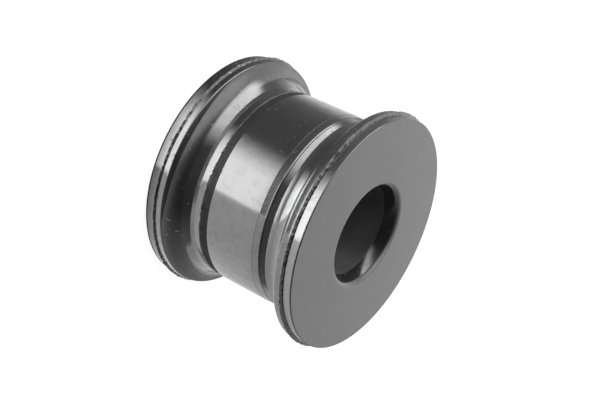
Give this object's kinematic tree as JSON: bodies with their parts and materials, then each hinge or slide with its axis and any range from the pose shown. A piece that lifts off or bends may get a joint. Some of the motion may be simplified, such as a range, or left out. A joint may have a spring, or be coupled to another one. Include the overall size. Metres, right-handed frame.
{
  "type": "rubber metal bush",
  "caption": "Spool-shaped rubber bush with a flange at each end, bonded between a steel ring around its waist and a steel tube in its bore.",
  "frame": {"origin": "centre of the lower end face, on the axis of the bore", "axes": "+Z along the bore, from the lower end face to the upper one"},
  "size_m": [0.0578, 0.0578, 0.042],
  "materials": {
    "rubber": "glossy moulded skin, with the end faces satin",
    "black_steel": "smooth black coating, scuffed",
    "bore_steel": "black phosphate, satin"
  },
  "bodies": {
    "root": {"rubber_body": "rubber", "outer_sleeve": "black_steel", "inner_sleeve": "bore_steel"}
  },
  "joints": []
}
